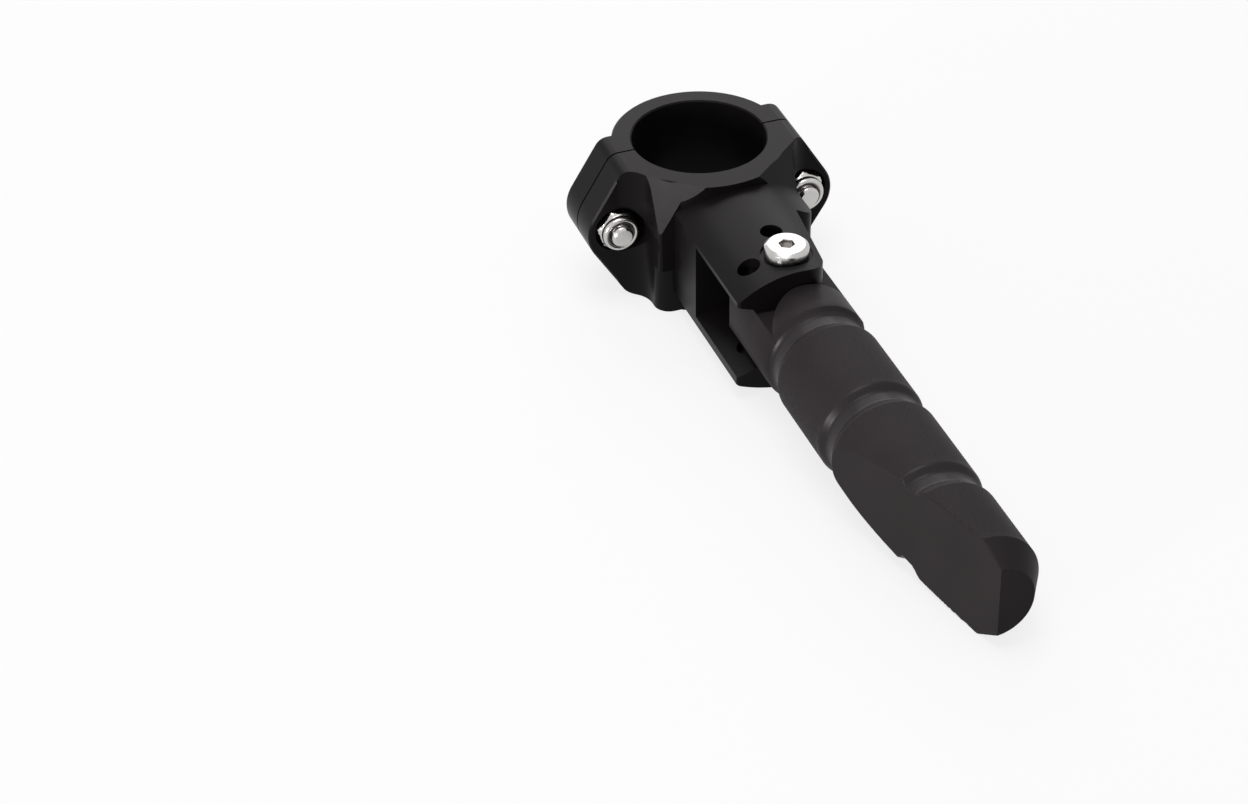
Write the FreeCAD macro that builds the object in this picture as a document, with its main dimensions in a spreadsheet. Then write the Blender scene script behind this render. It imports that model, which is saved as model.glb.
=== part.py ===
import FreeCAD, Part
import math
import os
import Sketcher
from FreeCAD import Rotation, Vector

# Folding foot peg on a two-piece tube clamp.
# Origin in the middle of the clamp's bore, +Z along the tube, +X towards the
# tip of the peg, +Y the way the peg folds. All sizes are in millimetres.

doc = FreeCAD.newDocument("FoldingFootPeg")
sheet = doc.addObject("Spreadsheet::Sheet", "Sizes")

SIZES = {
    # clamp round the tube
    "bore_dia": 38.1,
    "clamp_top": 21.0,
    "clamp_bottom": 20.0,
    "ring_wall": 5.65,
    "split_gap": 0.6,
    "rim_chamfer": 0.4,
    "edge_break": 0.5,
    "bolt_spacing": 56.0,
    "bolt_rise": 2.2,
    "lug_corner": 26.5,
    "lug_corner_radius": 4.0,
    "lug_foot_corner": 25.4,
    "lug_foot_radius": 4.0,
    "lug_end_radius": 11.3,
    "lug_end_offset": 2.6,
    "lug_end_rise": 1.2,
    "front_lug_depth": 9.5,
    "rear_lug_depth": 9.6,
    # clamp bolts and lock nuts
    "bolt_dia": 6.35,
    "bolt_hole_dia": 6.8,
    "bolt_length": 20.0,
    "bolt_head_dia": 9.5,
    "bolt_head_height": 6.35,
    "bolt_socket": 4.8,
    "bolt_socket_depth": 3.2,
    "head_seat_dia": 11.2,
    "head_seat_depth": 4.1,
    "nut_seat_dia": 13.6,
    "nut_seat_depth": 3.0,
    "nut_flats": 11.1,
    "nut_hex_height": 4.2,
    "nut_height": 6.2,
    "nut_collar_dia": 10.6,
    "nut_collar_bore": 7.6,
    "insert_height": 1.5,
    "tool_clearance_dia": 15.0,
    # neck between the ring and the ears
    "peg_line": 1.8,
    "post_left_face": 20.6,
    "post_left_inner": 3.0,
    "post_left_front": 22.8,
    "post_right_face": 22.0,
    "post_right_inner": 3.0,
    "post_right_front": 25.0,
    "post_corner_radius": 1.0,
    "post_foot_radius": 4.5,
    "post_foot_level": -6.0,
    "post_cove": 7.5,
    "neck_wall": 7.8,
    "facet_front": 15.9,
    "facet_side": 19.1,
    "facet_turn": 41.0,
    "facet_slope": 22.0,
    "crown_radius": 28.5,
    "crown_height": 19.0,
    "belly_radius": 44.0,
    "belly_depth": 17.8,
    # ears, slot and fold pocket, along X from the pivot
    "pivot_reach": 60.2,
    "ear_left_face": 16.1,
    "ear_front": 10.0,
    "ear_right_front": 9.5,
    "ear_right_back": 13.6,
    "ear_corner_radius": 6.0,
    "ear_edge_radius": 1.0,
    "pocket_back": 21.7,
    "pocket_lip_face": 19.7,
    "pocket_lip_radius": 4.5,
    "slot_back": 21.2,
    "slot_width": 16.6,
    "flare_width": 8.9,
    "flare_height": 3.1,
    # pivot screw
    "screw_head_dia": 12.3,
    "screw_head_height": 3.9,
    "screw_head_bevel": 0.9,
    "screw_socket": 4.0,
    "screw_socket_depth": 2.2,
    "screw_seat_dia": 14.4,
    "screw_seat_level": 17.8,
    "screw_dia": 8.0,
    "screw_play": 0.05,
    "screw_end_bevel": 0.6,
    # detent
    "detent_radius": 10.9,
    "detent_hole_dia": 6.2,
    "ball_dia": 7.0,
    "ball_play": 0.05,
    "ball_rest_gap": 0.08,
    "spring_dia": 6.0,
    "spring_wire": 0.8,
    "spring_turns": 4.0,
    "spring_gap": 0.12,
    # peg
    "peg_dia": 30.0,
    "peg_reach": 194.4,
    "tongue_play": 0.1,
    "tongue_end_radius": 15.2,
    "nose_radius": 12.5,
    "nose_centre": 23.3,
    "fold_flat": 13.4,
    "groove_first": 25.8,
    "last_land": 35.6,
    "groove_count": 3,
    "groove_width": 8.2,
    "groove_floor": 3.0,
    "groove_depth": 1.7,
    "tip_cone": 7.4,
    "tip_dia": 20.8,
    "bevel_run": 68.8,
    "bevel_end_offset": 0.9,
}

for row, (alias, value) in enumerate(SIZES.items(), start=1):
    sheet.set("A%d" % row, alias)
    sheet.set("B%d" % row, str(value))
    sheet.setAlias("B%d" % row, alias)
doc.recompute()

BY_LENGTH = sorted(SIZES, key=len, reverse=True)


def size(expression):
    """Value of an expression in the sheet's names."""
    return float(sheet.evalExpression(str(expression)))


def from_sheet(expression):
    """The same expression with each name read from the sheet."""
    text = str(expression)
    out = ""
    i = 0
    while i < len(text):
        starts_word = i == 0 or not (text[i - 1].isalnum() or text[i - 1] in "_.")
        hit = next((w for w in BY_LENGTH if text.startswith(w, i)), None) if starts_word else None
        out += "Sizes." + hit if hit else text[i]
        i += len(hit) if hit else 1
    return out


def bind(obj, prop, expression):
    obj.setExpression(prop, from_sheet(expression))


def put(obj, x="0", y="0", z="0"):
    bind(obj, "Placement.Base.x", x)
    bind(obj, "Placement.Base.y", y)
    bind(obj, "Placement.Base.z", z)


AXIS_TURN = {
    "X": Rotation(Vector(0, 1, 0), 90),
    "Y": Rotation(Vector(1, 0, 0), -90),
    "Z": Rotation(),
}


def box(name, x, y, z):
    """Box between pairs of limits."""
    obj = doc.addObject("Part::Box", name)
    bind(obj, "Length", "(%s) - (%s)" % (x[1], x[0]))
    bind(obj, "Width", "(%s) - (%s)" % (y[1], y[0]))
    bind(obj, "Height", "(%s) - (%s)" % (z[1], z[0]))
    put(obj, x[0], y[0], z[0])
    return obj


def along(obj, axis, low, across):
    """Stand a round primitive on `low`, its axis through the point `across`."""
    obj.Placement = FreeCAD.Placement(Vector(), AXIS_TURN[axis])
    others = [c for c in "XYZ" if c != axis]
    put(obj, **{axis.lower(): low, others[0].lower(): across[0], others[1].lower(): across[1]})


def rod(name, axis, radius, low, high, across=("0", "0")):
    obj = doc.addObject("Part::Cylinder", name)
    bind(obj, "Radius", radius)
    bind(obj, "Height", "(%s) - (%s)" % (high, low))
    along(obj, axis, low, across)
    return obj


def cone(name, axis, radius_low, radius_high, low, high, across=("0", "0")):
    obj = doc.addObject("Part::Cone", name)
    bind(obj, "Radius1", radius_low)
    bind(obj, "Radius2", radius_high)
    bind(obj, "Height", "(%s) - (%s)" % (high, low))
    along(obj, axis, low, across)
    return obj


def hexagon(name, axis, flats, low, high, across=("0", "0")):
    obj = doc.addObject("Part::Prism", name)
    obj.Polygon = 6
    bind(obj, "Circumradius", "(%s) / sqrt(3)" % flats)
    bind(obj, "Height", "(%s) - (%s)" % (high, low))
    along(obj, axis, low, across)
    return obj


def fuse(name, *parts):
    obj = doc.addObject("Part::MultiFuse", name)
    obj.Shapes = list(parts)
    obj.Refine = True
    return obj


def common(name, *parts):
    obj = doc.addObject("Part::MultiCommon", name)
    obj.Shapes = list(parts)
    obj.Refine = True
    return obj


def cut(name, base, *tools):
    obj = doc.addObject("Part::Cut", name)
    obj.Base = base
    obj.Tool = tools[0] if len(tools) == 1 else fuse(name + "_tools", *tools)
    obj.Refine = True
    return obj


def outline(body, plane, corners, level="0"):
    """Closed polygon on one of the body's planes; its corners follow the sheet."""
    sketch = body.newObject("Sketcher::SketchObject", body.Label + "_outline")
    origin = next(o for o in body.Origin.OriginFeatures if o.Role == plane + "_Plane")
    sketch.AttachmentSupport = [(origin, "")]
    sketch.MapMode = "FlatFace"
    bind(sketch, "AttachmentOffset.Base.z", level)
    points = [Vector(size(u), size(v), 0) for u, v in corners]
    last = len(points)
    for i in range(last):
        sketch.addGeometry(Part.LineSegment(points[i], points[(i + 1) % last]))
    for i in range(last):
        sketch.addConstraint(Sketcher.Constraint("Coincident", i, 2, (i + 1) % last, 1))
    for i, (u, v) in enumerate(corners):
        across = sketch.addConstraint(Sketcher.Constraint("DistanceX", -1, 1, i, 1, points[i].x))
        bind(sketch, "Constraints[%d]" % across, u)
        up = sketch.addConstraint(Sketcher.Constraint("DistanceY", -1, 1, i, 1, points[i].y))
        bind(sketch, "Constraints[%d]" % up, v)
    return sketch


def slab(name, plane, corners, low, high):
    """Polygon on XY or YZ, thick from `low` to `high` along the plane's normal."""
    body = doc.addObject("PartDesign::Body", name)
    pad = body.newObject("PartDesign::Pad", name + "_pad")
    pad.Profile = outline(body, plane, corners, low)
    bind(pad, "Length", "(%s) - (%s)" % (high, low))
    doc.recompute()
    return body


def dress(body, kind, amount, spots):
    """Fillet or chamfer the body's edges that pass through the spots."""
    base = body.Tip
    marks = [Part.Vertex(Vector(*[size(c) for c in spot])) for spot in spots]
    names = []
    for i, edge in enumerate(base.Shape.Edges, start=1):
        if any(edge.distToShape(mark)[0] < 0.02 for mark in marks):
            names.append("Edge%d" % i)
    feature = body.newObject("PartDesign::" + kind, body.Label + "_" + kind.lower())
    feature.Base = (base, names)
    bind(feature, "Radius" if kind == "Fillet" else "Size", amount)
    doc.recompute()
    return feature


def wrap(name, base):
    """A body that starts from another object's solid, so that it can be dressed."""
    body = doc.addObject("PartDesign::Body", name)
    body.BaseFeature = base
    doc.recompute()
    return body


TOP = "clamp_top"
LOW = "-clamp_bottom"
FAR = "clamp_top + clamp_bottom"
RING = "(bore_dia / 2 + ring_wall)"
GAP = "split_gap / 2"
BOLT_Y = "bolt_spacing / 2"
BOLTS = {"left": ("-" + BOLT_Y, "bolt_rise"), "right": (BOLT_Y, "bolt_rise")}
PIVOT = ("pivot_reach", "peg_line")
SLOT = "slot_width / 2"
END_Y = "(bolt_spacing / 2 - lug_end_offset)"


def touch(corner, rise):
    """Where the line from a lug's corner, `rise` above its end's middle, meets the round end."""
    reach = "(%s - %s)" % (corner, END_Y)
    angle = "(atan2(%s; %s) - acos(lug_end_radius / hypot(%s; %s)))" % (rise, reach, rise, reach)
    return "(%s + lug_end_radius * cos(%s))" % (END_Y, angle), "(lug_end_radius * sin(%s))" % angle


HIGH_Y, HIGH_Z = touch("lug_corner", "(clamp_top - lug_end_rise)")
DEEP_Y, DEEP_Z = touch("lug_foot_corner", "(clamp_bottom + lug_end_rise)")
HIGH_Z = "(lug_end_rise + %s)" % HIGH_Z
DEEP_Z = "(lug_end_rise - %s)" % DEEP_Z


def lugs(name, low, high):
    """Both ears of one clamp half, from `low` to `high` along X."""
    corners = [
        ("lug_corner", TOP), ("-lug_corner", TOP), ("-" + HIGH_Y, HIGH_Z), ("-" + DEEP_Y, DEEP_Z),
        ("-lug_foot_corner", LOW), ("lug_foot_corner", LOW), (DEEP_Y, DEEP_Z), (HIGH_Y, HIGH_Z),
    ]
    flat = slab(name + "_flat", "YZ", corners, low, high)
    middle = "((%s) + (%s)) / 2" % (low, high)
    dress(flat, "Fillet", "lug_corner_radius", [(middle, side + "lug_corner", TOP) for side in ("-", "")])
    dress(flat, "Fillet", "lug_foot_radius", [(middle, side + "lug_foot_corner", LOW) for side in ("-", "")])
    left = rod(name + "_left_end", "X", "lug_end_radius", low, high, ("-" + END_Y, "lug_end_rise"))
    right = rod(name + "_right_end", "X", "lug_end_radius", low, high, (END_Y, "lug_end_rise"))
    return fuse(name, flat, left, right)


def ring_half(name, x):
    """Half of the ring, its outer edges broken."""
    whole = rod(name + "_ring", "Z", RING, LOW, TOP)
    keep = box(name + "_side", x, ("-bore_dia", "bore_dia"), ("-bore_dia", "bore_dia"))
    return common(name + "_half", whole, keep)


def bore_cuts(name):
    """The tube's bore with a chamfer at both rims."""
    wide = "(bore_dia / 2 + 2 * rim_chamfer)"
    thin = "(bore_dia / 2 - rim_chamfer)"
    return [
        rod(name + "_bore", "Z", "bore_dia / 2", LOW + " - 1", TOP + " + 1"),
        cone(name + "_top_rim", "Z", thin, wide, TOP + " - 2 * rim_chamfer", TOP + " + rim_chamfer"),
        cone(name + "_low_rim", "Z", wide, thin, LOW + " - rim_chamfer", LOW + " + 2 * rim_chamfer"),
    ]


def beside(name, radius, low, high):
    """The same cut round both bolts."""
    return [rod(name + "_" + side, "X", radius, low, high, at) for side, at in BOLTS.items()]


# Rear clamp half

cap_blank = fuse(
    "cap_blank",
    ring_half("cap", ("-2 * bore_dia", "-(%s)" % GAP)),
    lugs("cap_lugs", "-rear_lug_depth", "-(%s)" % GAP),
)
HEAD_SEAT = "-(rear_lug_depth - head_seat_depth)"
cap_cut = cut(
    "cap_cut", cap_blank, *bore_cuts("cap"),
    *beside("cap_hole", "bolt_hole_dia / 2", "-rear_lug_depth - 1", "1"),
    *beside("cap_seat", "head_seat_dia / 2", "-rear_lug_depth - bolt_head_height", HEAD_SEAT),
)
clamp_cap = wrap("clamp_cap", cap_cut)


def outline_spots(x):
    """Points on the lugs' outline at one place along X."""
    spots = []
    for side in ("-", ""):
        spots += [
            (x, side + "(lug_corner + %s) / 2" % HIGH_Y, "(%s + %s) / 2" % (TOP, HIGH_Z)),
            (x, side + "(lug_foot_corner + %s) / 2" % DEEP_Y, "(%s + %s) / 2" % (LOW, DEEP_Z)),
            (x, side + "(%s + lug_end_radius)" % END_Y, "lug_end_rise"),
        ]
    return spots


dress(clamp_cap, "Chamfer", "edge_break", outline_spots("-rear_lug_depth") + [
    ("-" + RING, "0", TOP), ("-" + RING, "0", LOW),
])

# Bracket: front clamp half, neck and ears

CROWN_Z = "(crown_radius - crown_height)"
BELLY_Z = "(belly_radius - belly_depth)"
EAR_END = "(pivot_reach + ear_front)"

ears = slab("ears_plan", "XY", [
    (GAP, "-ear_left_face"), (EAR_END, "-ear_left_face"),
    (EAR_END, "ear_right_front"),
    ("pivot_reach - pocket_back", "ear_right_back"),
    ("pivot_reach - pocket_back", "pocket_lip_face"), (GAP, "pocket_lip_face"),
], LOW, TOP)
dress(ears, "Fillet", "ear_corner_radius", [(EAR_END, "ear_right_front", "0")])
dress(ears, "Fillet", "ear_edge_radius", [(EAR_END, "-ear_left_face", "0")])
dress(ears, "Fillet", "pocket_lip_radius", [("pivot_reach - pocket_back", "pocket_lip_face", "0")])

crown_above = rod("crown_above", "X", "crown_radius", "0", EAR_END + " + 1", ("peg_line", "-" + CROWN_Z))
crown_below = rod("crown_below", "X", "belly_radius", "0", EAR_END + " + 1", ("peg_line", BELLY_Z))
ear_block = common("ear_block", ears, crown_above, crown_below)



def post(name, side, front, inner, face):
    """Full-height corner of the neck, and the hollow and the slope that shape it."""
    outer = side + "(%s + post_cove)" % face
    low, high = sorted([side + inner, outer], key=size)
    step = "front_lug_depth + post_cove"
    block = slab(name + "_block", "XY", [(GAP, low), (step, low), (step, high), (GAP, high)], LOW, TOP)
    low, high = sorted([side + inner, side + face], key=size)
    plan = [(GAP, low), (front, low), (front, high), (GAP, high)]
    corner = slab(name + "_corner", "XY", plan, "post_foot_level", TOP)
    dress(corner, "Fillet", "post_corner_radius", [(front, side + face, "0")])
    foot = slab(name + "_foot", "XY", plan, LOW, "post_foot_level")
    dress(foot, "Fillet", "post_foot_radius", [(front, side + face, "(post_foot_level - clamp_bottom) / 2")])
    cove = rod(name + "_cove", "Z", "post_cove", LOW + " - 1", TOP + " + 1", (step, outer))
    slope = doc.addObject("Part::Cylinder", name + "_slope")
    across = -1 if side else 1
    turn = math.radians(size("facet_turn"))
    rise = math.radians(size("facet_slope"))
    normal = Vector(
        math.cos(rise) * math.cos(turn), across * math.cos(rise) * math.sin(turn), math.sin(rise)
    )
    slope.Placement = FreeCAD.Placement(Vector(), Rotation(Vector(0, 0, 1), normal))
    bind(slope, "Radius", "2 * (%s)" % FAR)
    bind(slope, "Height", FAR)
    put(slope, "facet_front", side + "facet_side", TOP)
    return [block, corner, foot], [cove, slope]


left_adds, left_cuts = post("post_left", "-", "post_left_front", "post_left_inner", "post_left_face")
right_adds, right_cuts = post("post_right", "", "post_right_front", "post_right_inner", "post_right_face")
NECK_REACH = "(bore_dia / 2 + neck_wall)"
neck_round = common(
    "neck_round", rod("neck_rod", "Z", NECK_REACH, LOW, TOP),
    box("neck_side", (GAP, "2 * bore_dia"), ("-bore_dia", "bore_dia"), ("-bore_dia", "bore_dia")),
)
neck_shaped = cut(
    "neck_shaped", fuse("neck_whole", neck_round, *left_adds, *right_adds), *left_cuts, *right_cuts,
)
bracket_lugs = wrap("bracket_lugs", lugs("bracket_lugs_plain", GAP, "front_lug_depth"))
dress(bracket_lugs, "Chamfer", "edge_break", outline_spots("front_lug_depth"))
neck = common("neck", neck_shaped, lugs("neck_limits", GAP, NECK_REACH + " + 1"))
bracket_blank = fuse(
    "bracket_blank",
    ring_half("bracket", (GAP, "2 * bore_dia")),
    bracket_lugs, ear_block, neck,
)

SLOT_X = "pivot_reach - slot_back"
NUT_SEAT = "front_lug_depth - nut_seat_depth"
SLOT_END = EAR_END + " + 1"


def flare(name, side, edge):
    """Chamfer of both slot walls along one side of the ears."""
    inner = "%s (%s - flare_width)" % (side, edge)
    outer = "%s (%s + flare_width)" % (side, edge)
    wide = "(%s + 2 * flare_height)" % SLOT
    return slab(name, "YZ", [
        (inner, SLOT), (outer, wide), (outer, "-" + wide), (inner, "-(%s)" % SLOT),
    ], SLOT_X, SLOT_END)


bracket_cut = cut(
    "bracket_cut", bracket_blank, *bore_cuts("bracket"),
    *beside("bracket_hole", "bolt_hole_dia / 2", "-1", "front_lug_depth + 1"),
    *beside("nut_seat", "nut_seat_dia / 2", NUT_SEAT, "3 * front_lug_depth"),
    *beside("tool_way", "tool_clearance_dia / 2", "front_lug_depth", "3 * front_lug_depth"),
    box("slot", (SLOT_X, SLOT_END), ("-bore_dia", "bore_dia"), ("-(%s)" % SLOT, SLOT)),
    flare("flare_left", "-", "ear_left_face"),
    flare("flare_right", "", "ear_right_back"),
    rod("pivot_bore", "Z", "screw_dia / 2 + screw_play", "0", FAR, PIVOT),
    rod("pivot_thread", "Z", "screw_dia / 2", "-(%s)" % FAR, "0", PIVOT),
    rod("pivot_seat", "Z", "screw_seat_dia / 2", "screw_seat_level", FAR, PIVOT),
    rod("detent_out", "Z", "detent_hole_dia / 2", "-(%s)" % FAR, FAR,
        ("pivot_reach - detent_radius", "peg_line")),
    rod("detent_folded", "Z", "detent_hole_dia / 2", "-(%s)" % FAR, FAR,
        ("pivot_reach", "peg_line - detent_radius")),
)
clamp_bracket = wrap("clamp_bracket", bracket_cut)


# Clamp bolts, lock nuts and their inserts

def bolt(name, at):
    seat = HEAD_SEAT
    y, z = at
    head = rod(name + "_head", "X", "bolt_head_dia / 2", seat + " - bolt_head_height", seat, at)
    shank = rod(name + "_shank", "X", "bolt_dia / 2", seat, seat + " + bolt_length", at)
    socket = hexagon(name + "_socket", "X", "bolt_socket", seat + " - bolt_head_height - 1",
                     seat + " - bolt_head_height + bolt_socket_depth", at)
    body = wrap(name, cut(name + "_cut", fuse(name + "_solid", head, shank), socket))
    dress(body, "Chamfer", "edge_break", [
        (seat + " - bolt_head_height", y + " + bolt_head_dia / 2", z),
        (seat + " + bolt_length", y + " + bolt_dia / 2", z),
    ])
    return body


def nut(name, at):
    seat = NUT_SEAT
    flats = hexagon(name + "_hex", "X", "nut_flats", seat, seat + " + nut_hex_height", at)
    collar = rod(name + "_collar", "X", "nut_collar_dia / 2", seat, seat + " + nut_height", at)
    hole = rod(name + "_hole", "X", "bolt_dia / 2", seat + " - 1", seat + " + nut_height + 1", at)
    pocket = rod(name + "_pocket", "X", "nut_collar_bore / 2", seat + " + nut_height - insert_height",
                 seat + " + nut_height + 1", at)
    return wrap(name, cut(name + "_cut", fuse(name + "_solid", flats, collar), hole, pocket))


def insert(name, at):
    top = NUT_SEAT + " + nut_height"
    ring = rod(name + "_ring", "X", "nut_collar_bore / 2", top + " - insert_height", top, at)
    hole = rod(name + "_hole", "X", "bolt_dia / 2", top + " - 2 * insert_height", top + " + 1", at)
    return cut(name, ring, hole)


pieces = [clamp_bracket, clamp_cap]
for side, at in BOLTS.items():
    pieces += [bolt("clamp_bolt_" + side, at), nut("lock_nut_" + side, at), insert("nut_insert_" + side, at)]

# Pivot screw

SCREW_TOP = "screw_seat_level + screw_head_height"
screw_solid = fuse(
    "screw_solid",
    rod("screw_head", "Z", "screw_head_dia / 2", "screw_seat_level", SCREW_TOP, PIVOT),
    rod("screw_shank", "Z", "screw_dia / 2", "-belly_depth", "screw_seat_level", PIVOT),
)
screw_cut = cut(
    "screw_cut", screw_solid,
    hexagon("screw_socket_hex", "Z", "screw_socket", SCREW_TOP + " - screw_socket_depth", SCREW_TOP + " + 1", PIVOT),
)
pivot_screw = wrap("pivot_screw", screw_cut)
dress(pivot_screw, "Chamfer", "screw_head_bevel", [("pivot_reach + screw_head_dia / 2", "peg_line", SCREW_TOP)])
dress(pivot_screw, "Chamfer", "screw_end_bevel",
      [("pivot_reach + screw_dia / 2", "peg_line", "-belly_depth")])

# Peg, turned about its own line, then milled

R = "peg_dia / 2"
START = "pivot_reach - 1.2 * tongue_end_radius"
TIP = "peg_reach"
profile = [(START, "0"), (START, R)]
FIRST = "(pivot_reach + groove_first)"
PITCH = "((peg_reach - last_land - pivot_reach - groove_first) / (groove_count - 1))"
for k in range(SIZES["groove_count"]):
    centre = "(%s + %d * %s)" % (FIRST, k, PITCH)
    profile += [
        (centre + " - groove_width / 2", R), (centre + " - groove_floor / 2", R + " - groove_depth"),
        (centre + " + groove_floor / 2", R + " - groove_depth"), (centre + " + groove_width / 2", R),
    ]
profile += [(TIP + " - tip_cone", R), (TIP, "tip_dia / 2"), (TIP, "0")]
barrel = doc.addObject("PartDesign::Body", "barrel")
turned = barrel.newObject("PartDesign::Revolution", "barrel_turned")
turned.Profile = outline(barrel, "XY", profile)
turned.ReferenceAxis = (next(o for o in barrel.Origin.OriginFeatures if o.Role == "X_Axis"), [""])
turned.Angle = 360
put(barrel, y="peg_line")
doc.recompute()

TONGUE = "(slot_width / 2 - tongue_play)"
NOSE = ("pivot_reach + nose_centre", "peg_line")
end_round = rod("end_round", "Z", "tongue_end_radius", "-peg_dia", "peg_dia", PIVOT)
front_keep = box("front_keep", ("pivot_reach", "2 * peg_reach"), ("-peg_dia", "peg_dia"), ("-peg_dia", "peg_dia"))
plan_keep = fuse("plan_keep", end_round, front_keep)
above = box("above_tongue", (START + " - 1", "pivot_reach + nose_centre"), ("-peg_dia", "peg_dia"), (TONGUE, "peg_dia"))
below = box("below_tongue", (START + " - 1", "pivot_reach + nose_centre"), ("-peg_dia", "peg_dia"),
            ("-peg_dia", "-" + TONGUE))
nose = rod("nose", "Z", "nose_radius", "-2 * peg_dia", "2 * peg_dia", NOSE)
shoulder = box("shoulder", ("pivot_reach + nose_centre - nose_radius", "pivot_reach + 2 * nose_centre"),
               ("peg_line", "peg_dia"), ("-2 * peg_dia", "2 * peg_dia"))
milled = cut("milled_away", fuse("beside_tongue", above, below), nose, shoulder)
fold_side = box("fold_side", (START + " - 1", FIRST), ("peg_line + fold_flat", "peg_dia"),
                ("-peg_dia", "peg_dia"))
bevel = slab("bevel", "XY", [
    ("peg_reach - bevel_run", "peg_line - peg_dia / 2"), ("peg_reach", "peg_line + bevel_end_offset"),
    ("peg_reach + peg_dia", "peg_line + bevel_end_offset"), ("peg_reach + peg_dia", "peg_line - peg_dia"),
    ("peg_reach - bevel_run", "peg_line - peg_dia"),
], "-peg_dia", "peg_dia")
CROSS = ("pivot_reach - detent_radius", "peg_line")
foot_peg = cut(
    "foot_peg", common("peg_blank", barrel, plan_keep), milled, fold_side, bevel,
    rod("peg_pivot_hole", "Z", "screw_dia / 2 + screw_play", "-peg_dia", "peg_dia", PIVOT),
    rod("peg_cross_bore", "Z", "ball_dia / 2 + ball_play", "-peg_dia", "peg_dia", CROSS),
)

# Detent balls and their spring

BALL_Z = "(slot_width / 2 - ball_rest_gap - ball_dia / 2)"


def ball(name, z):
    obj = doc.addObject("Part::Sphere", name)
    bind(obj, "Radius", "ball_dia / 2")
    put(obj, CROSS[0], CROSS[1], z)
    return obj


WIRE_R = "((spring_dia - spring_wire) / 2)"
SPRING_END = "(%s - sqrt((ball_dia / 2) ^ 2 - %s ^ 2) - spring_wire / 2 - spring_gap)" % (BALL_Z, WIRE_R)
spring = doc.addObject("PartDesign::Body", "detent_spring")
wire = spring.newObject("Sketcher::SketchObject", "wire")
wire.AttachmentSupport = [(next(o for o in spring.Origin.OriginFeatures if o.Role == "XZ_Plane"), "")]
wire.MapMode = "FlatFace"
wire.addGeometry(Part.Circle(Vector(size(WIRE_R), 0, 0), Vector(0, 0, 1), size("spring_wire / 2")))
wire.addConstraint(Sketcher.Constraint("PointOnObject", 0, 3, -1))
reach = wire.addConstraint(Sketcher.Constraint("DistanceX", -1, 1, 0, 3, size(WIRE_R)))
bind(wire, "Constraints[%d]" % reach, WIRE_R)
thick = wire.addConstraint(Sketcher.Constraint("Radius", 0, size("spring_wire / 2")))
bind(wire, "Constraints[%d]" % thick, "spring_wire / 2")
coil = spring.newObject("PartDesign::AdditiveHelix", "coil")
coil.Profile = wire
coil.ReferenceAxis = (wire, ["V_Axis"])
coil.Mode = 0
bind(coil, "Height", "2 * %s" % SPRING_END)
bind(coil, "Pitch", "2 * %s / spring_turns" % SPRING_END)
put(spring, CROSS[0], CROSS[1], "-" + SPRING_END)

pieces += [
    pivot_screw, foot_peg, ball("detent_ball_upper", BALL_Z), ball("detent_ball_lower", "-" + BALL_Z), spring,
]

doc.recompute()
for obj in doc.Objects:
    if any(flag in obj.State for flag in ("Invalid", "Error")):
        raise RuntimeError("%s did not recompute: %s" % (obj.Label, obj.State))
os.makedirs("parts", exist_ok=True)
for obj in pieces:
    if obj.Shape.isNull() or not obj.Shape.isValid() or obj.Shape.Volume <= 0:
        raise RuntimeError("%s has no sound solid" % obj.Label)
    obj.Shape.exportStep(os.path.join("parts", obj.Label + ".step"))
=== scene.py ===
import math

import bmesh
import bpy
import numpy as np
from mathutils import Matrix, Vector


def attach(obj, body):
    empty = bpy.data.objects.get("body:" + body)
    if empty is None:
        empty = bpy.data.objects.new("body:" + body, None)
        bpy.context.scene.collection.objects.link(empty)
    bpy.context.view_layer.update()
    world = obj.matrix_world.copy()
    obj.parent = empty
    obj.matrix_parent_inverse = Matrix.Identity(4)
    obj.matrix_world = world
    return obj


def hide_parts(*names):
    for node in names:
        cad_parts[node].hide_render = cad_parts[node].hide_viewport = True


bl_info = {
    "name": "Folding foot peg",
    "version": (1, 0, 0),
    "blender": (4, 5, 0),
    "location": "View3D > Sidebar > Foot Peg",
    "description": "Dresses the folding foot peg and its tube clamp",
    "category": "Object",
}

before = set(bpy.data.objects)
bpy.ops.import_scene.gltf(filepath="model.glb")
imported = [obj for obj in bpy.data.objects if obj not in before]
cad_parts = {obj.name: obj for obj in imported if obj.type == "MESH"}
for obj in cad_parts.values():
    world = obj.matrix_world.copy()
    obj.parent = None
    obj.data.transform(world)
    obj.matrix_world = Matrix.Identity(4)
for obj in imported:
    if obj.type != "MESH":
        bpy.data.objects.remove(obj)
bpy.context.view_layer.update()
MM = 0.001

KNURL_LEAN = 0.62  # lines crossed along the peg for each pitch of its length
KNURL_LAND = 0.42  # share of the pitch that keeps the full radius
KNURL_FADE = 2.0 * MM  # length over which the knurl starts and ends
KNURL_MARGIN = 0.3 * MM  # width without knurl beside the bevel and the fold flat
LAND_STEP = 0.2 * MM  # distance between two rings of a knurled land

LAMP_TINT = (1.0, 0.955, 0.965)
LAMP_TARGET = (0.05, 0.0, 0.0)
LAMPS = (  # name, place, side of the square, power
    ("back_light", (-0.95, 0.2, 0.55), 1.0, 5.6),
    ("left_light", (0.55, -0.87, 0.13), 0.22, 5.6),
    ("top_light", (0.1, -0.1, 1.0), 0.6, 4.6),
)
WORLD_LIGHT = 0.36
FLOOR_TOUCH = Vector((0.0228, 0.0, -0.02))  # the neck's lower edge stands here
FLOOR_RISE = 5.0 / 165.0  # towards the tip, so that the peg's underside nearly lies on it
FLOOR_REACH = 6.0
CAMERA_PLACE = (0.7860, -0.3064, 0.5465)
CAMERA_RIGHT = (0.34624, 0.93812, -0.01098)
CAMERA_BACK = (0.7590, -0.2732, 0.5909)


def length(name, description, default):
    """Property for a length, its default given in millimetres"""
    return bpy.props.FloatProperty(
        name=name, description=description, default=default * MM, unit="LENGTH", precision=5
    )


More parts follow.
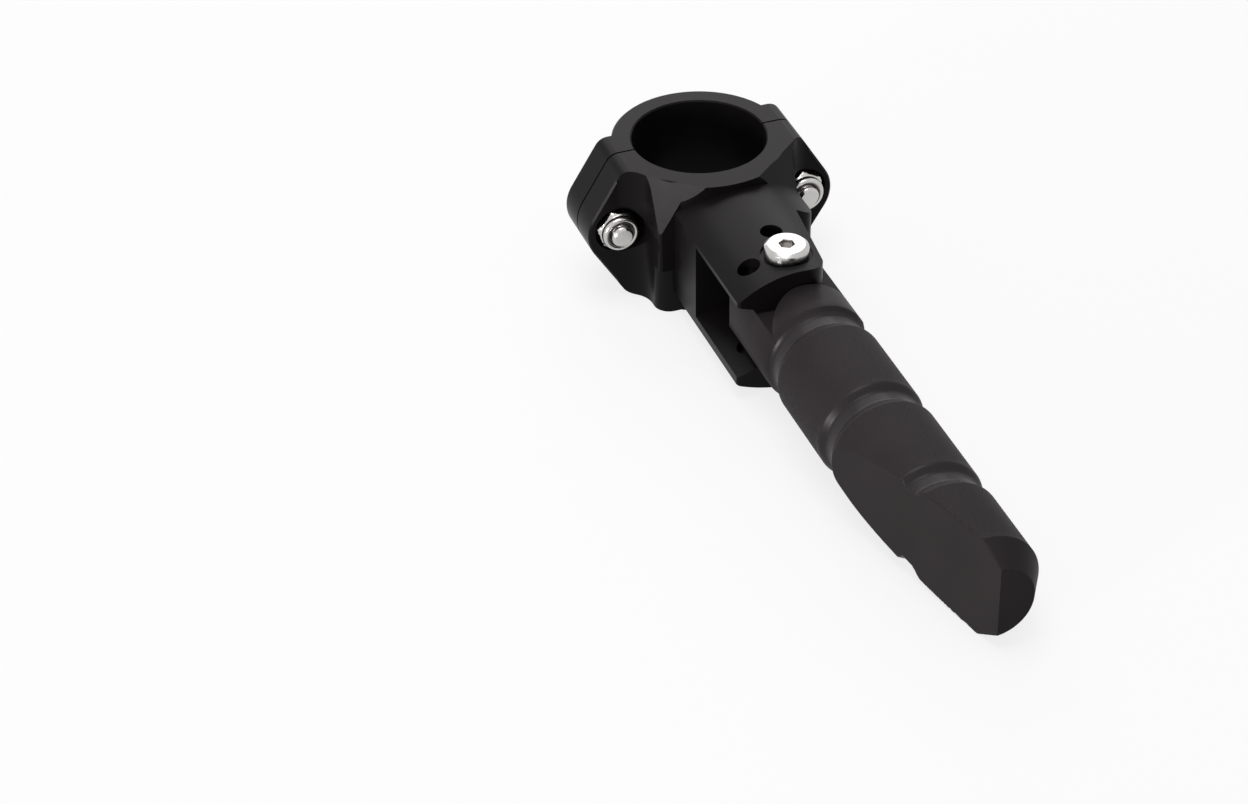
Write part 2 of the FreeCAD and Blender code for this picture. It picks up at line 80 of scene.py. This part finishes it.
def colour(name, description, default):
    """Property for a linear colour"""
    return bpy.props.FloatVectorProperty(
        name=name, description=description, default=default, size=3, subtype="COLOR", min=0.0, max=1.0
    )


class FootPegSizes(bpy.types.PropertyGroup):
    """Sizes of the pieces that are remade here; they match the construction"""

    peg_line: length("Peg line", "Sideways place of the peg's axis", 1.8)
    peg_radius: length("Peg radius", "Outer radius of the peg", 15.0)
    peg_tip: length("Tip", "Far end of the peg", 194.4)
    root_end: length("Root end", "Where the turned barrel takes over from the milled root", 83.2)
    groove_first: length("First groove", "Middle of the groove nearest to the pivot", 86.0)
    groove_pitch: length("Groove pitch", "Distance between grooves", 36.4)
    groove_width: length("Groove width", "Width of a groove at the surface", 8.2)
    groove_floor: length("Groove floor", "Width of a groove at its floor", 3.0)
    groove_depth: length("Groove depth", "Depth of a groove", 1.7)
    groove_ease: length("Groove ease", "Extra length of a groove's wall towards the tip", 1.6)
    tip_cone: length("Tip cone", "Length of the cone at the tip", 7.4)
    tip_radius: length("Tip radius", "Radius at the tip's end face", 10.4)
    bevel_start: length("Bevel start", "Where the long bevel leaves the surface", 125.6)
    bevel_end: length("Bevel end", "Offset of the bevel from the peg's axis at the tip", 0.9)
    fold_flat: length("Fold flat", "Distance of the milled flat from the peg's axis", 13.4)
    knurl_pitch: length("Knurl pitch", "Distance between two knurl lines", 0.85)
    knurl_depth: length("Knurl depth", "Depth of the knurl", 0.1)
    bolt_y: length("Bolt offset", "Distance of each clamp bolt from the middle", 28.0)
    bolt_rise: length("Bolt rise", "Height of the clamp bolts above the line of the peg", 2.2)
    bolt_seat: length("Bolt seat", "Where the bolt heads sit", -5.5)
    bolt_end: length("Bolt end", "End of the bolts", 14.5)
    bolt_radius: length("Bolt radius", "Radius of a bolt's shank", 3.17)
    bolt_head: length("Bolt head", "Height of a bolt's head", 6.35)
    bolt_pitch: length("Bolt pitch", "Pitch of a bolt's thread", 1.27)
    bolt_thread: length("Bolt thread", "Depth of a bolt's thread", 0.45)
    nut_seat: length("Nut seat", "Where the lock nuts sit", 6.5)
    nut_height: length("Nut height", "Height of a lock nut", 6.2)
    pivot_x: length("Pivot", "Distance of the pivot from the clamp's axis", 60.2)
    screw_seat: length("Screw seat", "Level under the pivot screw's head", 17.8)
    screw_head: length("Screw head", "Height of the pivot screw's head", 3.9)
    screw_end: length("Screw end", "Lower end of the pivot screw", -17.8)
    screw_radius: length("Screw radius", "Radius of the pivot screw's shank", 4.0)
    screw_pitch: length("Screw pitch", "Pitch of the pivot screw's thread", 1.25)
    screw_thread: length("Screw thread", "Depth of the pivot screw's thread", 0.6)


class FootPegFinish(bpy.types.PropertyGroup):
    """Colours of the finishes"""

    clamp: colour("Clamp", "Satin black of clamp and bracket", (0.006, 0.0053, 0.0059))
    peg: colour("Peg", "Matt black of the peg", (0.024, 0.0211, 0.0218))
    steel: colour("Steel", "Bright plated steel", (0.52, 0.51, 0.495))
    nylon: colour("Nylon", "Locking ring in the nuts", (0.06, 0.056, 0.05))
    floor: colour("Floor", "Pale floor", (0.9, 0.9, 0.9))


def new_material(name):
    """Node material with nothing but a principled shader wired to its output"""
    material = bpy.data.materials.get(name)
    if material is None:
        material = bpy.data.materials.new(name)
        material.use_nodes = True
    tree = material.node_tree
    tree.nodes.clear()
    out = tree.nodes.new("ShaderNodeOutputMaterial")
    shader = tree.nodes.new("ShaderNodeBsdfPrincipled")
    tree.links.new(shader.outputs["BSDF"], out.inputs["Surface"])
    return material, tree, shader


def coordinates(tree, scale):
    """Object coordinates through a Mapping node with the given scale"""
    place = tree.nodes.new("ShaderNodeTexCoord")
    mapping = tree.nodes.new("ShaderNodeMapping")
    mapping.inputs["Scale"].default_value = scale
    tree.links.new(place.outputs["Object"], mapping.inputs["Vector"])
    return mapping.outputs["Vector"]


def noise(tree, vector, scale, detail=3.0):
    """Noise value between 0 and 1"""
    node = tree.nodes.new("ShaderNodeTexNoise")
    node.inputs["Scale"].default_value = scale
    node.inputs["Detail"].default_value = detail
    tree.links.new(vector, node.inputs["Vector"])
    return node.outputs["Fac"]


def remap(tree, value, low, high):
    """Straight line from low to high while the value goes from 0.3 to 0.7"""
    node = tree.nodes.new("ShaderNodeMapRange")
    node.inputs["From Min"].default_value = 0.3
    node.inputs["From Max"].default_value = 0.7
    node.inputs["To Min"].default_value = low
    node.inputs["To Max"].default_value = high
    tree.links.new(value, node.inputs["Value"])
    return node.outputs["Result"]


def tint(tree, value, low, high):
    """Colour between low and high while the value goes from 0.3 to 0.7"""
    node = tree.nodes.new("ShaderNodeValToRGB")
    node.color_ramp.elements[0].position = 0.3
    node.color_ramp.elements[0].color = (*low, 1.0)
    node.color_ramp.elements[1].position = 0.7
    node.color_ramp.elements[1].color = (*high, 1.0)
    tree.links.new(value, node.inputs["Fac"])
    return node.outputs["Color"]


def bump(tree, height, strength, distance):
    """Normal tilted by the slope of the height"""
    node = tree.nodes.new("ShaderNodeBump")
    node.inputs["Strength"].default_value = strength
    node.inputs["Distance"].default_value = distance
    tree.links.new(height, node.inputs["Height"])
    return node.outputs["Normal"]


def seen_rays(tree):
    """1 for camera, glossy and transmission rays, so metal shows the pale background too"""
    path = tree.nodes.new("ShaderNodeLightPath")
    total = path.outputs["Is Camera Ray"]
    for name in ("Is Glossy Ray", "Is Transmission Ray"):
        most = tree.nodes.new("ShaderNodeMath")
        most.operation = "MAXIMUM"
        tree.links.new(total, most.inputs[0])
        tree.links.new(path.outputs[name], most.inputs[1])
        total = most.outputs["Value"]
    return total


def shades(base, spread):
    """Two colours a little darker and lighter than the base"""
    return [tuple(c * (1.0 - spread) for c in base), tuple(c * (1.0 + spread) for c in base)]


def satin_black(name, base, roughness, grain, gloss):
    """Fine even coat: faint cloudiness in colour and gloss, tiny grain in the surface"""
    material, tree, shader = new_material(name)
    vector = coordinates(tree, (1.0, 1.0, 1.0))
    cloud = noise(tree, vector, 60.0)
    fine = noise(tree, vector, 2600.0, 2.0)
    tree.links.new(tint(tree, cloud, *shades(base, 0.12)), shader.inputs["Base Color"])
    tree.links.new(remap(tree, cloud, roughness - 0.03, roughness + 0.03), shader.inputs["Roughness"])
    tree.links.new(bump(tree, fine, grain, 0.00005), shader.inputs["Normal"])
    shader.inputs["Specular IOR Level"].default_value = gloss
    return material


def plated_steel(name, base, roughness):
    """Bright plating with faint turning marks and uneven gloss"""
    material, tree, shader = new_material(name)
    vector = coordinates(tree, (1.0, 1.0, 1.0))
    cloud = noise(tree, vector, 240.0)
    fine = noise(tree, vector, 3200.0, 2.0)
    tree.links.new(tint(tree, cloud, *shades(base, 0.06)), shader.inputs["Base Color"])
    tree.links.new(remap(tree, fine, roughness - 0.02, roughness + 0.03), shader.inputs["Roughness"])
    tree.links.new(bump(tree, fine, 0.05, 0.00002), shader.inputs["Normal"])
    shader.inputs["Metallic"].default_value = 1.0
    return material


def nylon(name, base):
    """Slightly translucent moulded ring"""
    material, tree, shader = new_material(name)
    vector = coordinates(tree, (1.0, 1.0, 1.0))
    cloud = noise(tree, vector, 300.0)
    tree.links.new(tint(tree, cloud, *shades(base, 0.08)), shader.inputs["Base Color"])
    tree.links.new(remap(tree, cloud, 0.38, 0.5), shader.inputs["Roughness"])
    return material


def grid_faces(rows, columns):
    """Quads between neighbouring rows; the last column joins the first"""
    r, c = np.meshgrid(np.arange(rows - 1), np.arange(columns), indexing="ij")
    n = (c + 1) % columns
    below, above = r * columns, (r + 1) * columns
    return np.stack([below + c, below + n, above + n, above + c], -1).reshape(-1, 4)


def grid_piece(name, points, angle=32.0):
    """Closed solid from rows of rings, each end drawn in to its middle point"""
    rows, columns = points.shape[:2]
    ends = points[[0, -1]].mean(axis=1)
    places = np.concatenate([points.reshape(-1, 3), ends])
    quads = grid_faces(rows, columns)
    k = np.arange(columns)
    n = (k + 1) % columns
    first = rows * columns
    start = np.stack([np.full(columns, first), n, k], -1)
    last = (rows - 1) * columns
    finish = np.stack([np.full(columns, first + 1), last + k, last + n], -1)
    mesh = bpy.data.meshes.new(name)
    mesh.from_pydata(places.tolist(), [], quads.tolist() + start.tolist() + finish.tolist())
    piece = bpy.data.objects.new(name, mesh)
    bpy.context.scene.collection.objects.link(piece)
    tidy(mesh)
    mesh.shade_smooth()
    mesh.set_sharp_from_angle(angle=math.radians(angle))
    return piece


def tidy(mesh):
    """Merge doubled points and turn every face outwards"""
    work = bmesh.new()
    work.from_mesh(mesh)
    bmesh.ops.remove_doubles(work, verts=work.verts, dist=1e-7)
    bmesh.ops.recalc_face_normals(work, faces=work.faces)
    work.to_mesh(mesh)
    work.free()


def place(piece, body, slot, material, *nodes):
    """Give a piece its material, its body and the nodes it stands for; the slot argument is not used
    """
    piece.data.materials.clear()
    piece.data.materials.append(material)
    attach(piece, body)
    if nodes:
        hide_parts(*nodes)
    return piece


def turn_about(axis_points, angles, radii, side, up):
    """Rings of the given radii round points on a line: centre + radius (cos a side + sin a up)"""
    c, s = np.cos(angles), np.sin(angles)
    ring = c[:, None] * side + s[:, None] * up
    return axis_points[:, None, :] + radii[..., None] * ring[None]


def triangle_wave(phase):
    """1 on whole numbers, 0 half way between them"""
    return np.abs(2.0 * (phase - np.floor(phase)) - 1.0)


def turned_radius(x, s):
    """Radius of the turned bar: full, dipping in the grooves, drawn in by the cone at the tip.

    A groove's wall is steeper towards the pivot and eases out towards the tip.
    """
    r = np.full_like(x, s.peg_radius)
    for k in range(3):
        away = x - s.groove_first - k * s.groove_pitch
        half = np.where(away > 0, s.groove_width / 2 + s.groove_ease, s.groove_width / 2)
        t = np.clip((half - np.abs(away)) / (half - s.groove_floor / 2), 0.0, 1.0)
        r = r - s.groove_depth * (t * t * (3 - 2 * t))
    cone = np.clip((x - s.peg_tip + s.tip_cone) / s.tip_cone, 0.0, 1.0)
    return r - (s.peg_radius - s.tip_radius) * cone


def barrel_rows(x, s, columns, knurled):
    """Rings of the barrel: the turned radius less the knurl, cut by the bevel and the fold flat.

    Each ring is drawn round a centre that moves off the peg's line towards +Y near the
    tip, so that the part of the disc left by the bevel lies all round it. The bevel is
    y > line through (bevel_start, -radius) and (tip, bevel_end); the fold flat is
    y < fold_flat up to the first groove.
    """
    angles = np.linspace(0, 2 * np.pi, columns, endpoint=False)
    c, d = np.cos(angles)[None, :], np.sin(angles)[None, :]
    slope = (s.bevel_end + s.peg_radius) / (s.peg_tip - s.bevel_start)
    floor = (-s.peg_radius + (x - s.bevel_start) * slope)[:, None]
    shift = np.maximum(floor + 0.28 * s.peg_radius, 0.0)
    shift = shift * shift / (shift + 0.1 * s.peg_radius)
    radius = turned_radius(x, s)[:, None]
    reach = -shift * c + np.sqrt(np.maximum(radius**2 - (shift * d) ** 2, 0.0))
    round_part = reach.copy()
    low = np.where(c < -1e-6, (floor - shift) / np.minimum(c, -1e-6), 1.0)
    beside = (c > 1e-6) & (x[:, None] < s.groove_first)
    high = np.where(beside, (s.fold_flat - shift) / np.maximum(c, 1e-6), 1.0)
    reach = np.minimum(np.minimum(reach, low), high)
    if knurled:
        y = shift + reach * c
        z = reach * d
        turn = np.arctan2(z, y) / (2 * np.pi)
        count = round(2 * math.pi * s.peg_radius / s.knurl_pitch)
        along = x[:, None] / s.knurl_pitch * KNURL_LEAN
        lines = np.maximum(triangle_wave(along + count * turn), triangle_wave(along - count * turn))
        groove = np.clip((lines - KNURL_LAND) / (1.0 - KNURL_LAND), 0.0, 1.0)
        edge = np.minimum(x - x[0], x[-1] - x)[:, None]
        fade = np.clip(edge / KNURL_FADE, 0.0, 1.0)
        on_round = np.clip((np.minimum(low, high) - round_part) / KNURL_MARGIN, 0.0, 1.0)
        reach = reach - s.knurl_depth * groove * fade * on_round
    along = np.broadcast_to(x[:, None], reach.shape)
    return np.stack([along, s.peg_line + shift + reach * c, reach * d], -1)


def matt_bevel(mesh, s, material):
    """Second material on the faces whose normal is the bevel's, (slope, -1, 0) made unit length"""
    slope = (s.bevel_end + s.peg_radius) / (s.peg_tip - s.bevel_start)
    normals = np.empty(len(mesh.polygons) * 3)
    mesh.polygons.foreach_get("normal", normals)
    facing = normals.reshape(-1, 3) @ (np.array([slope, -1.0, 0.0]) / math.hypot(slope, 1.0))
    mesh.materials.append(material)
    mesh.polygons.foreach_set("material_index", (facing > 0.9995).astype(np.int32))


class FOOTPEG_OT_bracket(bpy.types.Operator):
    """Finish the clamp halves and the bracket"""

    bl_idname = "footpeg.bracket"
    bl_label = "Clamp and bracket"

    def execute(self, context):
        look = context.scene.footpeg_finish
        black = satin_black("satin_black_coat", look.clamp, 0.32, 0.25, 0.065)
        for node in ("clamp_bracket", "clamp_cap"):
            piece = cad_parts[node]
            for slot in piece.material_slots:
                slot.material = black
        return {"FINISHED"}


class FOOTPEG_OT_peg(bpy.types.Operator):
    """Make the knurled peg with its grooves, bevelled tip and milled root"""

    bl_idname = "footpeg.peg"
    bl_label = "Peg"

    def execute(self, context):
        s = context.scene.footpeg_sizes
        look = context.scene.footpeg_finish
        black = satin_black("matt_black_peg", look.peg, 0.5, 0.35, 0.05)
        turned = satin_black("turned_black_groove", look.peg, 0.33, 0.2, 0.13)
        self.root(s, black)
        half = s.groove_width / 2
        starts = [s.groove_first + k * s.groove_pitch for k in range(3)]
        for k, middle in enumerate(starts):
            low = s.root_end if k == 0 else middle - half
            rows = np.linspace(low, middle + half, 26)
            groove = grid_piece("peg_groove_%d" % (k + 1), barrel_rows(rows, s, 360, False))
            place(groove, "peg", "peg", turned)
            matt_bevel(groove.data, s, black)
            far = starts[k + 1] - half if k < 2 else s.peg_tip - s.tip_cone
            count = int((far - middle - half) / LAND_STEP)
            rows = np.linspace(middle + half, far, count)
            land = grid_piece("peg_knurl_%d" % (k + 1), barrel_rows(rows, s, 480, True), 60.0)
            place(land, "peg", "peg", black)
        rows = np.linspace(s.peg_tip - s.tip_cone, s.peg_tip, 14)
        tip = grid_piece("peg_tip", barrel_rows(rows, s, 384, False))
        place(tip, "peg", "peg", black)
        return {"FINISHED"}

    def root(self, s, black):
        """Copy of the solid's milled end, merged and cut off square where the barrel starts"""
        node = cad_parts["foot_peg"]
        mesh = node.data.copy()
        mesh.name = "peg_root"
        piece = bpy.data.objects.new("peg_root", mesh)
        bpy.context.scene.collection.objects.link(piece)
        work = bmesh.new()
        work.from_mesh(mesh)
        bmesh.ops.remove_doubles(work, verts=work.verts, dist=2e-6)
        bmesh.ops.bisect_plane(
            work, geom=work.verts[:] + work.edges[:] + work.faces[:], dist=1e-7,
            plane_co=(s.root_end, 0, 0), plane_no=(1, 0, 0), clear_outer=True,
        )
        rim = [e for e in work.edges if e.is_boundary]
        bmesh.ops.holes_fill(work, edges=rim, sides=0)
        bmesh.ops.dissolve_limit(
            work, angle_limit=math.radians(0.5), verts=work.verts, edges=work.edges
        )
        bmesh.ops.recalc_face_normals(work, faces=work.faces)
        work.to_mesh(mesh)
        work.free()
        mesh.shade_smooth()
        mesh.set_sharp_from_angle(angle=math.radians(30))
        place(piece, "peg", "peg", black, "foot_peg")


def along_x(y, z):
    """Base point, then forward, side and up, for a profile turned about a line along X"""
    return np.array([0.0, y, z]), np.array([1.0, 0, 0]), np.array([0, 1.0, 0]), np.array([0, 0, 1.0])


def profile_rings(profile, base, forward, side, up, columns):
    """Rings from (place along the axis, radius as a number or as one number for each column)"""
    angles = np.linspace(0, 2 * np.pi, columns, endpoint=False)
    radii = np.stack([np.broadcast_to(np.asarray(r, float), (columns,)) for _, r in profile])
    centres = base + np.array([p for p, _ in profile])[:, None] * forward
    return turn_about(centres, angles, radii, side, up)


def steps(level, rows):
    """Profile rows from (height above the level, radius) in millimetres"""
    return [(level + rise * MM, radius * MM) for rise, radius in rows]


def hexagon_radius(flats, columns, turn=0.0):
    """Distance from the middle to the side of a hexagon, for each column"""
    angles = np.linspace(0, 2 * np.pi, columns, endpoint=False) + turn
    sixth = math.pi / 3
    return flats / 2 / np.cos((angles % sixth) - sixth / 2)


def thread_rows(low, high, radius, pitch, depth, columns, per_turn=8):
    """Rings of a screw thread: the radius dips by `depth` on a helix, fading at both ends"""
    count = max(3, int(abs(high - low) / pitch * per_turn))
    x = np.linspace(low, high, count)
    angles = np.linspace(0, 1, columns, endpoint=False)
    wave = triangle_wave(x[:, None] / pitch + angles[None, :])
    fade = np.clip(np.minimum(np.abs(x - low), np.abs(x - high)) / pitch, 0.0, 1.0)[:, None]
    return [(p, radius - depth * w) for p, w in zip(x, wave * np.clip(fade * 2, 0, 1))]


class FOOTPEG_OT_bolts(bpy.types.Operator):
    """Make the clamp bolts, lock nuts and their nylon rings"""

    bl_idname = "footpeg.bolts"
    bl_label = "Clamp bolts and nuts"

    def execute(self, context):
        s = context.scene.footpeg_sizes
        look = context.scene.footpeg_finish
        steel = plated_steel("bright_plated_steel", look.steel, 0.2)
        ring = nylon("nylon_ring", look.nylon)
        for name, y, turn in (("left", -s.bolt_y, 0.2), ("right", s.bolt_y, 0.5)):
            axis = along_x(y, s.bolt_rise)
            bolt = self.bolt("bolt_" + name, axis, s)
            place(bolt, "bracket", "hardware", steel, "clamp_bolt_" + name)
            nut = self.nut("nut_" + name, axis, s, turn)
            place(nut, "bracket", "hardware", steel, "lock_nut_" + name)
            collar = self.ring("ring_" + name, axis, s)
            place(collar, "bracket", "nut_insert", ring, "nut_insert_" + name)
        return {"FINISHED"}

    def bolt(self, name, axis, s):
        """Socket head with knurled side, plain shank, thread to the end"""
        n = 120
        angles = np.linspace(0, 2 * np.pi, n, endpoint=False)
        ribs = 4.75 - 0.12 * (0.5 + 0.5 * np.cos(angles * 24))
        seat, end, radius = s.bolt_seat, s.bolt_end, s.bolt_radius
        socket = hexagon_radius(4.8, n)
        profile = steps(seat - s.bolt_head, [
            (3.2, 0.2), (3.2, socket), (0.25, socket), (0.0, socket + 0.2), (0.0, 4.25), (0.2, 4.6),
            (0.7, 4.7), (0.9, ribs),
        ])
        profile += steps(seat, [(-0.5, ribs), (-0.3, 4.7), (0.0, 4.6), (0.0, 3.17)])
        profile += thread_rows(
            seat + 3 * MM, end - 1.2 * MM, radius, s.bolt_pitch, s.bolt_thread, n
        )
        profile += steps(end, [
            (-1.1, 3.16), (-0.8, 3.14), (-0.7, 3.08), (-0.06, 2.55), (0.0, 2.45), (0.0, 0.2),
        ])
        return grid_piece(name, profile_rings(profile, *axis, n), 30.0)

    def nut(self, name, axis, s, turn):
        """Hexagon with its corners turned off, and the collar that holds the nylon ring"""
        n = 120
        flats = hexagon_radius(11.1, n, turn)
        wide, middle, narrow, low = (np.minimum(flats, r) for r in (6.4, 6.0, 5.6, 5.5))
        profile = steps(s.nut_seat, [
            (0.0, 3.2), (0.0, low), (0.4, wide), (3.1, wide), (3.6, middle), (4.0, narrow), (4.2, 5.4),
            (4.35, 5.3), (5.2, 5.28), (5.8, 5.15), (6.1, 4.9), (6.2, 4.6), (6.15, 4.2), (6.0, 3.95),
            (5.8, 3.8), (4.6, 3.8), (4.6, 3.2), (0.0, 3.2),
        ])
        return loop_piece(name, profile_rings(profile, *axis, n))

    def ring(self, name, axis, s):
        """Nylon ring, its inner edge rounded"""
        n = 96
        profile = steps(s.nut_seat + s.nut_height, [
            (-1.5, 3.2), (-1.5, 3.78), (-0.8, 3.78), (-0.7, 3.65), (-0.75, 3.3), (-0.9, 3.2),
            (-1.5, 3.2),
        ])
        return loop_piece(name, profile_rings(profile, *axis, n))


def loop_piece(name, points, angle=32.0):
    """Closed ring-shaped solid: rows of rings whose last row lies on the first"""
    rows, columns = points.shape[:2]
    mesh = bpy.data.meshes.new(name)
    mesh.from_pydata(points.reshape(-1, 3).tolist(), [], grid_faces(rows, columns).tolist())
    piece = bpy.data.objects.new(name, mesh)
    bpy.context.scene.collection.objects.link(piece)
    tidy(mesh)
    mesh.shade_smooth()
    mesh.set_sharp_from_angle(angle=math.radians(angle))
    return piece


class FOOTPEG_OT_pivot(bpy.types.Operator):
    """Make the pivot screw and finish the detent"""

    bl_idname = "footpeg.pivot"
    bl_label = "Pivot screw and detent"

    def execute(self, context):
        s = context.scene.footpeg_sizes
        look = context.scene.footpeg_finish
        steel = plated_steel("bright_screw_steel", look.steel, 0.2)
        n = 96
        base = np.array([s.pivot_x, s.peg_line, 0.0])
        axis = (base, np.array([0, 0, 1.0]), np.array([1.0, 0, 0]), np.array([0, 1.0, 0]))
        seat = s.screw_seat
        top = seat + s.screw_head
        socket = hexagon_radius(4.0, n)
        end = s.screw_end
        profile = steps(end, [(0.0, 0.2), (0.0, 3.3), (0.6, 3.9)])
        profile += thread_rows(
            end + 0.7 * MM, -9.6 * MM, s.screw_radius, s.screw_pitch, s.screw_thread, n
        )
        profile += steps(0.0, [(-9.5, 4.0)])
        profile += steps(seat, [(0.0, 4.0), (0.0, 5.9), (0.25, 6.15)])
        profile += steps(top, [
            (-1.0, 6.15), (-0.75, 6.07), (-0.12, 5.35), (0.0, 5.15), (0.0, 5.05), (0.0, socket + 0.05),
            (-0.1, socket), (-2.2, socket), (-2.2, 0.2),
        ])
        screw = grid_piece("pivot_screw_finished", profile_rings(profile, *axis, n), 28.0)
        place(screw, "bracket", "hardware", steel, "pivot_screw")
        for node in ("detent_ball_upper", "detent_ball_lower", "detent_spring"):
            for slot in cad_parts[node].material_slots:
                slot.material = steel
        return {"FINISHED"}


class FOOTPEG_OT_stage(bpy.types.Operator):
    """Set up floor, light and camera"""

    bl_idname = "footpeg.stage"
    bl_label = "Stage"

    def execute(self, context):
        scene = context.scene
        scene.view_settings.view_transform = "Standard"
        self.floor(scene)
        self.lights(scene)
        self.camera(scene)
        return {"FINISHED"}

    def floor(self, scene):
        """Large plane that touches the neck's lower edge and the peg's underside near the tip"""
        material, tree, shader = new_material("pale_floor")
        shader.inputs["Base Color"].default_value = (*scene.footpeg_finish.floor, 1)
        shader.inputs["Roughness"].default_value = 0.9
        out = next(n for n in tree.nodes if n.type == "OUTPUT_MATERIAL")
        glow = tree.nodes.new("ShaderNodeEmission")
        pale = tree.nodes.new("ShaderNodeMixShader")
        pale.inputs["Fac"].default_value = 0.8
        # Painted bounce light: for rays other than camera, glossy and transmission rays the floor
        # glows, at strength 0.75 for y below -0.07 falling to 0.12 for y above -0.02, so the object's
        # -Y side gets light as if bounced from a bright floor there
        painted_bounce_glow = tree.nodes.new("ShaderNodeEmission")
        painted_bounce_glow.inputs["Color"].default_value = (*LAMP_TINT, 1.0)
        where = tree.nodes.new("ShaderNodeSeparateXYZ")
        tree.links.new(coordinates(tree, (1.0, 1.0, 1.0)), where.inputs["Vector"])
        painted_bounce_fall = tree.nodes.new("ShaderNodeMapRange")
        painted_bounce_fall.inputs["From Min"].default_value = -0.07
        painted_bounce_fall.inputs["From Max"].default_value = -0.02
        painted_bounce_fall.inputs["To Min"].default_value = 0.75
        painted_bounce_fall.inputs["To Max"].default_value = 0.12
        tree.links.new(where.outputs["Y"], painted_bounce_fall.inputs["Value"])
        tree.links.new(painted_bounce_fall.outputs["Result"], painted_bounce_glow.inputs["Strength"])
        mix = tree.nodes.new("ShaderNodeMixShader")
        tree.links.new(shader.outputs["BSDF"], pale.inputs[1])
        tree.links.new(glow.outputs["Emission"], pale.inputs[2])
        tree.links.new(seen_rays(tree), mix.inputs["Fac"])
        tree.links.new(painted_bounce_glow.outputs["Emission"], mix.inputs[1])
        tree.links.new(pale.outputs["Shader"], mix.inputs[2])
        tree.links.new(mix.outputs["Shader"], out.inputs["Surface"])
        low, high = -FLOOR_REACH, FLOOR_REACH
        corners = [
            (x, y, FLOOR_TOUCH.z + (x - FLOOR_TOUCH.x) * FLOOR_RISE - 0.1 * MM)
            for x, y in ((low, low), (high, low), (high, high), (low, high))
        ]
        mesh = bpy.data.meshes.new("floor")
        mesh.from_pydata(corners, [], [(0, 1, 2, 3)])
        floor = bpy.data.objects.new("floor", mesh)
        mesh.materials.append(material)
        scene.collection.objects.link(floor)

    def lights(self, scene):
        """Even world, white where it is seen, and the soft lamps"""
        world = bpy.data.worlds.new("studio")
        scene.world = world
        world.use_nodes = True
        tree = world.node_tree
        back = tree.nodes["Background"]
        back.inputs["Color"].default_value = (1, 1, 1, 1)
        level = tree.nodes.new("ShaderNodeMapRange")
        level.inputs["To Min"].default_value = WORLD_LIGHT
        level.inputs["To Max"].default_value = 1.0
        tree.links.new(seen_rays(tree), level.inputs["Value"])
        tree.links.new(level.outputs["Result"], back.inputs["Strength"])
        for name, where, size, power in LAMPS:
            self.panel(scene, name, where, size, power)

    def panel(self, scene, name, where, size, power):
        """Square soft lamp turned towards the peg"""
        lamp = bpy.data.lights.new(name, "AREA")
        lamp.shape = "SQUARE"
        lamp.size = size
        lamp.energy = power
        lamp.color = LAMP_TINT
        obj = bpy.data.objects.new(name, lamp)
        obj.location = where
        obj.rotation_euler = (Vector(LAMP_TARGET) - Vector(where)).to_track_quat("-Z", "Y").to_euler()
        scene.collection.objects.link(obj)

    def camera(self, scene):
        """Camera at the photograph's angle: up is back x right, then right is up x back"""
        data = bpy.data.cameras.new("camera")
        data.lens = 101.75
        data.sensor_width = 36.0
        data.sensor_fit = "HORIZONTAL"
        data.clip_start = 0.01
        data.clip_end = 50.0
        camera = bpy.data.objects.new("camera", data)
        right = Vector(CAMERA_RIGHT).normalized()
        back = Vector(CAMERA_BACK).normalized()
        up = back.cross(right).normalized()
        right = up.cross(back).normalized()
        turn = Matrix((right, up, back)).transposed()
        camera.matrix_world = Matrix.Translation(CAMERA_PLACE) @ turn.to_4x4()
        scene.collection.objects.link(camera)
        scene.camera = camera


class FOOTPEG_PT_panel(bpy.types.Panel):
    """Foot peg pieces"""

    bl_idname = "FOOTPEG_PT_panel"
    bl_label = "Foot Peg"
    bl_space_type = "VIEW_3D"
    bl_region_type = "UI"
    bl_category = "Foot Peg"

    def draw(self, context):
        for group in (context.scene.footpeg_sizes, context.scene.footpeg_finish):
            column = self.layout.column()
            for name in group.bl_rna.properties.keys():
                if name not in ("rna_type", "name"):
                    column.prop(group, name)
        for operator in OPERATORS:
            self.layout.operator(operator.bl_idname)


OPERATORS = (FOOTPEG_OT_bracket, FOOTPEG_OT_peg, FOOTPEG_OT_bolts, FOOTPEG_OT_pivot, FOOTPEG_OT_stage)
CLASSES = (FootPegSizes, FootPegFinish, *OPERATORS, FOOTPEG_PT_panel)


def register():
    for cls in CLASSES:
        bpy.utils.register_class(cls)
    bpy.types.Scene.footpeg_sizes = bpy.props.PointerProperty(type=FootPegSizes)
    bpy.types.Scene.footpeg_finish = bpy.props.PointerProperty(type=FootPegFinish)


def unregister():
    del bpy.types.Scene.footpeg_finish
    del bpy.types.Scene.footpeg_sizes
    for cls in reversed(CLASSES):
        bpy.utils.unregister_class(cls)


def main():
    register()
    bpy.ops.footpeg.bracket()
    bpy.ops.footpeg.peg()
    bpy.ops.footpeg.bolts()
    bpy.ops.footpeg.pivot()
    bpy.ops.footpeg.stage()


if __name__ == "__main__":
    main()
